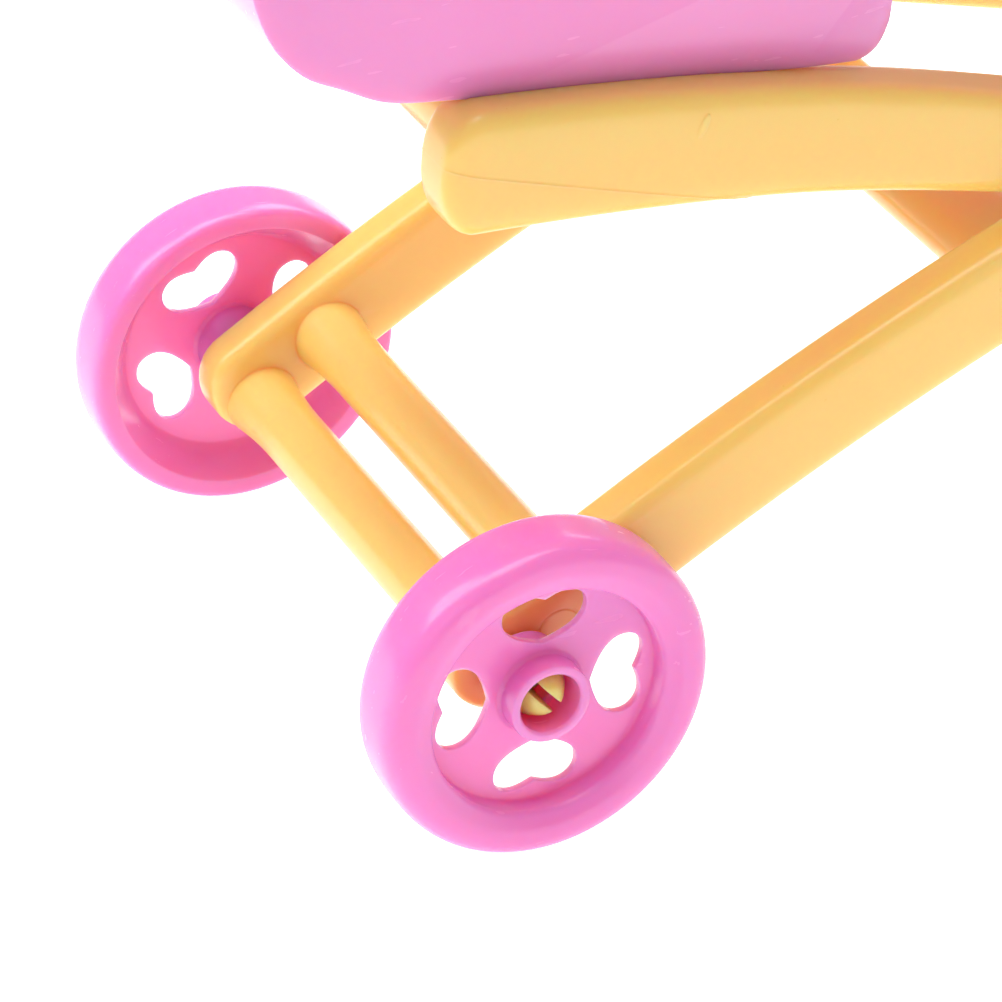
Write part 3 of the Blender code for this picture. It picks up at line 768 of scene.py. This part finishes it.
def pins():
    for side, word in ((1, "right"), (-1, "left")):
        headed_pin("leg_pivot_" + word, "front_frame", 17.6 * MM, FRONT_LEG_OUT + 0.3 * MM,
                   PIVOT, side)
        headed_pin("handle_pin_" + word, "front_frame", FRONT_LEG_OUT - 3.0 * MM, 34.4 * MM,
                   HANDLE_FOOT, side)
        headed_pin("seat_hinge_" + word, "front_frame", 22.7 * MM, 34.4 * MM, SEAT_HINGE, side)
        headed_pin("hood_pin_" + word, "seat", 22.7 * MM, 28.5 * MM, HOOD_AXIS, side)


HANDLE_TUBE = 2.7 * MM
HANDLE_X = 31.3 * MM
GRIP = at(166.0 * MM, 141.0 * MM)


def push_handle():
    """U-shaped tube with round eyes at its feet and at the seat hinge."""
    bend = 13.0 * MM
    lean = Vector((0.0, GRIP.y - HANDLE_FOOT.y, GRIP.z - HANDLE_FOOT.z))
    length = lean.length
    lean.normalize()
    route = [(HANDLE_X, 0.0)]
    for i in range(1, 12):
        route.append((HANDLE_X, (length - bend) * i / 12))
    for i in range(17):
        around = math.pi / 2 * i / 16
        route.append((HANDLE_X - bend + bend * math.cos(around),
                      length - bend + bend * math.sin(around)))
    for i in range(1, 7):
        crown = 1.0 * MM * math.sin(math.pi / 12 * i)
        route.append(((HANDLE_X - bend) * (1 - i / 6), length + crown))
    route += [(-x, along) for x, along in route[-2::-1]]
    foot = Vector((0.0, HANDLE_FOOT.y, HANDLE_FOOT.z))
    path = [foot + lean * along + Vector((x, 0.0, 0.0)) for x, along in route]
    points = []
    for i in range(36):
        around = 2 * math.pi * i / 36
        across = math.cos(around) * HANDLE_TUBE
        deep = Vector((0.0, lean.z, -lean.y)) * math.sin(around) * HANDLE_TUBE
        points.append(path[0] + Vector((across, 0.0, 0.0)) + deep)
    obj = start_loop("push_handle_tube", points)
    across_way = Vector((1.0, 0.0, 0.0))
    swing = Matrix((across_way, lean, across_way.cross(lean))).transposed()
    heading = 0.0
    for before, here, after in zip(path, path[1:], path[2:] + [path[-1]]):
        way = (after - before).normalized()
        turn = math.atan2(-way.x, way.dot(lean))
        extrude()
        bpy.ops.transform.translate(value=here - before)
        bpy.ops.transform.rotate(value=heading - turn, orient_axis="Z", orient_matrix=swing,
                                 orient_type="GLOBAL", orient_matrix_type="GLOBAL",
                                 center_override=here)
        heading = turn
    close_up()
    eyes = ((HANDLE_FOOT, 4.6 * MM, FRONT_LEG_OUT + 0.3 * MM), (SEAT_HINGE, 4.2 * MM, 28.6 * MM))
    for place, radius, low in eyes:
        high = 34.1 * MM
        rim = 0.35 * MM
        profile = [(low, radius - rim), (low + 0.1 * MM, radius - 0.1 * MM), (low + rim, radius),
                   (high - rim, radius), (high - 0.1 * MM, radius - 0.1 * MM),
                   (high, radius - rim)]
        eye = turned("eye", profile, place.y, place.z, 48)
        other = twin(eye, "eye")
        combine(obj, eye, "UNION")
        combine(obj, other, "UNION")
    for place in (HANDLE_FOOT, SEAT_HINGE):
        drill(obj, place)
    smooth(obj, 36.0)
    return hand_over(obj, "push_handle", "front_frame", FRAME_YELLOW)


# ---------------------------------------------------------------- seat

SEAT_WALL = 1.8 * MM
SEAT_HALF_LOW = 20.3 * MM
SEAT_LOW_Z = 48.0 * MM
SEAT_FLARE = 0.17
SEAT_HALF_TOP = 25.0 * MM
SEAT_EDGE = 2.6 * MM
FOOTWELL_FRONT = (
    (-22.0, 88.0), (-21.6, 74.0), (-20.6, 66.0), (-18.6, 60.3), (-15.6, 56.4), (-12.0, 54.2),
    (-8.0, 52.0), (-2.4, 50.85), (7.3, 49.3), (20.0, 47.75), (29.2, 46.45), (34.6, 45.92),
)
PAN_AND_BACK = (
    (42.6, 61.9), (60.0, 62.4), (90.0, 63.6), (104.0, 65.0), (112.0, 69.0), (118.0, 76.0),
    (140.5, 124.0),
)
RIM = (
    (-30.0, 79.0), (-10.0, 80.5), (30.0, 83.0), (66.0, 85.0), (80.0, 88.0), (88.0, 94.0),
    (94.0, 101.0), (102.0, 104.0), (112.0, 105.0), (122.0, 108.0), (131.0, 113.5), (148.0, 115.5),
)


def flowing(points, steps):
    """A smooth line through the given points."""
    line = []
    for i in range(len(points) - 1):
        p0 = Vector(points[max(i - 1, 0)])
        p1 = Vector(points[i])
        p2 = Vector(points[i + 1])
        p3 = Vector(points[min(i + 2, len(points) - 1)])
        long = (p2 - p1).length
        m1 = (p2 - p0) * (long / max((p2 - p0).length, 1e-9))
        m2 = (p3 - p1) * (long / max((p3 - p1).length, 1e-9))
        for k in range(steps):
            t = k / steps
            a = 2 * t ** 3 - 3 * t ** 2 + 1
            b = t ** 3 - 2 * t ** 2 + t
            c = -2 * t ** 3 + 3 * t ** 2
            d = t ** 3 - t ** 2
            line.append(tuple(p1 * a + m1 * b + p2 * c + m2 * d))
    line.append(tuple(points[-1]))
    return line


def inset(points, distance):
    """The same line moved sideways by a distance."""
    moved = []
    for i, (y, z) in enumerate(points):
        before = Vector(points[max(i - 1, 0)])
        after = Vector(points[min(i + 1, len(points) - 1)])
        way = (after - before).normalized()
        moved.append((y - way.y * distance, z + way.x * distance))
    return moved


def tub_block(name, profile, half_low, half_top, top, edge):
    """The side profile given width, flared, rounded along its edges and limited in width."""
    outline = list(profile) + [(profile[-1][0] + 2.0 * MM, top), (profile[0][0], top)]
    outline = [tuple(at(y, z).yz) for y, z in outline]
    obj = slab(name, outline, -half_low, half_low)
    for vertex in obj.data.vertices:
        rise = vertex.co.z - FRONT_AXLE.z - SEAT_LOW_Z
        vertex.co.x += math.copysign(SEAT_FLARE * rise, vertex.co.x)
    soften(obj, edge, 8, 40.0)
    low = at(profile[0][0] - 20.0 * MM, 30.0 * MM)
    high = at(profile[-1][0] + 20.0 * MM, top + 20.0 * MM)
    limit = slab("limit", [(low.y, low.z), (high.y, low.z), (high.y, high.z), (low.y, high.z)],
                 -half_top, half_top)
    return combine(obj, limit, "INTERSECT")


def seat_tub():
    """Open tub with footwell, pan, leaning back and hinge ears."""
    heel = arc_steps((35.1 * MM, 49.3 * MM), 3.4 * MM, -97.0, 0.0, 10)
    hollow_bend = arc_steps((43.0 * MM, 57.4 * MM), 4.5 * MM, 180.0, 95.0, 8)
    outer = flowing([(y * MM, z * MM) for y, z in FOOTWELL_FRONT], 5)[:-1]
    outer += heel + [(38.5 * MM, 52.5 * MM), (38.5 * MM, 55.0 * MM)] + hollow_bend
    outer += flowing([(y * MM, z * MM) for y, z in PAN_AND_BACK], 6)
    inner = inset(outer, SEAT_WALL)
    obj = tub_block("seat_tub_shell", outer, SEAT_HALF_LOW, SEAT_HALF_TOP, 135.0 * MM, SEAT_EDGE)
    hollow = tub_block("hollow", inner, SEAT_HALF_LOW - SEAT_WALL, SEAT_HALF_TOP - SEAT_WALL,
                       150.0 * MM, SEAT_EDGE - 1.4 * MM)
    combine(obj, hollow, "DIFFERENCE")
    rim = flowing([(y * MM, z * MM) for y, z in RIM], 6)
    rim += [(160.0 * MM, 170.0 * MM), (-40.0 * MM, 170.0 * MM)]
    above = [tuple(at(y, z).yz) for y, z in rim]
    combine(obj, slab("above", above, -40.0 * MM, 40.0 * MM), "DIFFERENCE")
    hinge_y = SEAT_HINGE.y - FRONT_AXLE.y
    hinge_z = SEAT_HINGE.z - FRONT_AXLE.z
    ear = [(124.0 * MM, 92.4 * MM)]
    ear += arc_steps((hinge_y, hinge_z), 3.95 * MM, -95.0, 95.0, 20)
    ear.append((127.0 * MM, 100.0 * MM))
    ear = [tuple(at(y, z).yz) for y, z in ear]
    ear_in = SEAT_HALF_TOP - SEAT_WALL + 0.2 * MM
    for side in (1.0, -1.0):
        span = sorted((side * ear_in, side * (SEAT_HALF_TOP - 0.15 * MM)))
        plate = slab("ear", ear, span[0], span[1])
        combine(obj, soften(plate, 0.3 * MM, 2, 50.0), "UNION")
        boss = [(ear_in + 0.1 * MM, 3.7 * MM), (28.05 * MM, 3.7 * MM), (28.3 * MM, 3.45 * MM)]
        round_boss = turned("boss", boss, SEAT_HINGE.y, SEAT_HINGE.z, 48)
        combine(obj, keep_side(round_boss, side, "boss"), "UNION")
    for place in (SEAT_HINGE, HOOD_AXIS):
        drill(obj, place)
    smooth(obj, 34.0)
    return hand_over(obj, "seat_tub", "seat", SEAT_LILAC)


# ---------------------------------------------------------------- hood

HOOD_WALL = 1.3 * MM
HOOD_CORNER = 7.5 * MM
HOOD_FOOT = 3.4 * MM
HOOD_RIPPLE = 0.010
HOOD_RIPPLES = 4


def hoop(side, radius, corner):
    """Half of a hood section from the foot on the left, over the top, to the foot on the right."""
    points = [(-side, HOOD_FOOT)]
    points += [(-side + corner * (1 - math.cos(math.radians(a))),
                radius - corner + corner * math.sin(math.radians(a))) for a in range(0, 91, 9)]
    points += [(-side / 3, radius), (side / 3, radius)]
    points += [(side - corner * (1 - math.cos(math.radians(a))),
                radius - corner + corner * math.sin(math.radians(a))) for a in range(90, -1, -9)]
    points.append((side, HOOD_FOOT))
    return points


def hood_section(radius, side, wall, corner):
    """U-shaped section of a hood panel as (x, radius) points round its outside and inside."""
    return hoop(side, radius, corner) + hoop(side - wall, radius - wall, corner - wall)[::-1]


def hood_panel(node, body, radius, side, start, end):
    """One hood panel: a U-shaped section swung round the hood pins, with an eye on each side."""
    y, z = HOOD_AXIS.y, HOOD_AXIS.z
    first = math.radians(start)
    points = []
    for x, r in hood_section(radius - 0.05 * MM, side, HOOD_WALL, HOOD_CORNER):
        points.append((x, y + r * math.cos(first), z + r * math.sin(first)))
    obj = start_loop(node + "_shell", points)
    count = 30
    step = math.radians(end - start) / count
    dip = 1.0
    for i in range(1, count + 1):
        extrude()
        bpy.ops.transform.rotate(value=-step, orient_axis="X", center_override=(0.0, y, z))
        wave = 1.0 - HOOD_RIPPLE * (0.5 - 0.5 * math.cos(2 * math.pi * HOOD_RIPPLES * i / count))
        change = wave / dip
        bpy.ops.transform.resize(value=(1.0, change, change), center_override=(0.0, y, z))
        dip = wave
    close_up()
    soften(obj, 0.35 * MM, 3, 60.0)
    profile = [(side - HOOD_WALL + 0.06 * MM, 5.2 * MM), (side - 0.25 * MM, 5.2 * MM),
               (side - 0.06 * MM, 5.0 * MM)]
    # Both eyes join at once, because a second union one side at a time comes out differently per run
    eyes = turned("eye", profile, y, z, 56)
    combine(eyes, twin(eyes, "eye"), "UNION")
    combine(obj, eyes, "UNION")
    drill(obj, HOOD_AXIS)
    smooth(obj, 30.0)
    return hand_over(obj, node, body, SEAT_LILAC)


# ---------------------------------------------------------------- studio

LAMP_AIM = Vector((0.0, 0.0, 0.06))
CAMERA_PLACE = (0.360337, FRONT_AXLE.y - 0.162353, FRONT_AXLE.z + 0.248343)
CAMERA_AZIMUTH = 64.144
CAMERA_ELEVATION = 32.118
CAMERA_LENS_MM = 188.6


def studio_floor():
    """Pale plain table."""
    object_mode()
    bpy.ops.object.select_all(action="DESELECT")
    bpy.ops.mesh.primitive_plane_add(size=6.0, location=(0.0, 0.0, -0.0002))
    floor = bpy.context.object
    floor.name = "studio_floor"
    finish = Finish("white_table")
    coords = finish.node("ShaderNodeTexCoord", output=3)
    grain = finish.node("ShaderNodeTexNoise", {}, {"Vector": coords, "Scale": 30.0})
    finish.feed(finish.shader.inputs["Roughness"], 0.55 + grain * 0.1)
    finish.set(Base_Color=colour(0.60, 0.60, 0.60), Emission_Color=colour(1.0, 1.0, 1.0),
               Emission_Strength=0.85)
    floor.data.materials.append(finish.material)


def lamp(name, place, size, watts):
    """Square soft lamp that faces the stroller's middle."""
    light = bpy.data.lights.new(name, "AREA")
    light.shape = "SQUARE"
    light.size = size
    light.energy = watts
    obj = bpy.data.objects.new(name, light)
    obj.location = place
    obj.rotation_mode = "QUATERNION"
    obj.rotation_quaternion = (LAMP_AIM - Vector(place)).to_track_quat("-Z", "Y")
    bpy.context.scene.collection.objects.link(obj)


def studio_light():
    """Even pale surround with four soft lamps."""
    world = bpy.data.worlds.new("studio")
    world.use_nodes = True
    sky = world.node_tree.nodes["Background"]
    sky.inputs["Color"].default_value = (1.0, 1.0, 1.0, 1.0)
    sky.inputs["Strength"].default_value = 0.42
    bpy.context.scene.world = world
    lamp("key", (-0.45, -0.75, 0.85), 0.60, 4.5)
    lamp("side", (0.55, -0.75, 0.75), 0.40, 0.3)
    lamp("top", (-0.10, -0.10, 1.10), 0.90, 11.0)
    lamp("back", (-0.55, 0.65, 0.80), 0.60, 4.0)


def camera():
    """Long lens, looking down at the front wheels from the right and the front."""
    azimuth = math.radians(CAMERA_AZIMUTH)
    elevation = math.radians(CAMERA_ELEVATION)
    back = Vector((math.sin(azimuth) * math.cos(elevation),
                   -math.cos(azimuth) * math.cos(elevation), math.sin(elevation)))
    right = Vector((math.cos(azimuth), math.sin(azimuth), 0.0))
    up = back.cross(right)
    data = bpy.data.cameras.new("camera")
    data.sensor_width = 36.0
    data.lens = CAMERA_LENS_MM
    data.clip_start = 0.02
    data.clip_end = 20.0
    obj = bpy.data.objects.new("camera", data)
    obj.location = CAMERA_PLACE
    obj.rotation_mode = "QUATERNION"
    obj.rotation_quaternion = Matrix((right, up, back)).transposed().to_quaternion()
    bpy.context.scene.collection.objects.link(obj)
    bpy.context.scene.camera = obj


def stroller():
    wheels()
    leg_frame("front_leg_frame", "front_frame", False)
    leg_frame("rear_leg_frame", "rear_frame", True)
    pins()
    push_handle()
    seat_tub()
    hood_panel("hood_rear", "rear_hood", 45.8 * MM, 26.6 * MM, 30.0, 96.0)
    hood_panel("hood_front", "front_hood", 47.6 * MM, 28.2 * MM, 90.0, 150.0)


stroller()
studio_floor()
studio_light()
camera()
bpy.context.scene.view_settings.view_transform = "Standard"
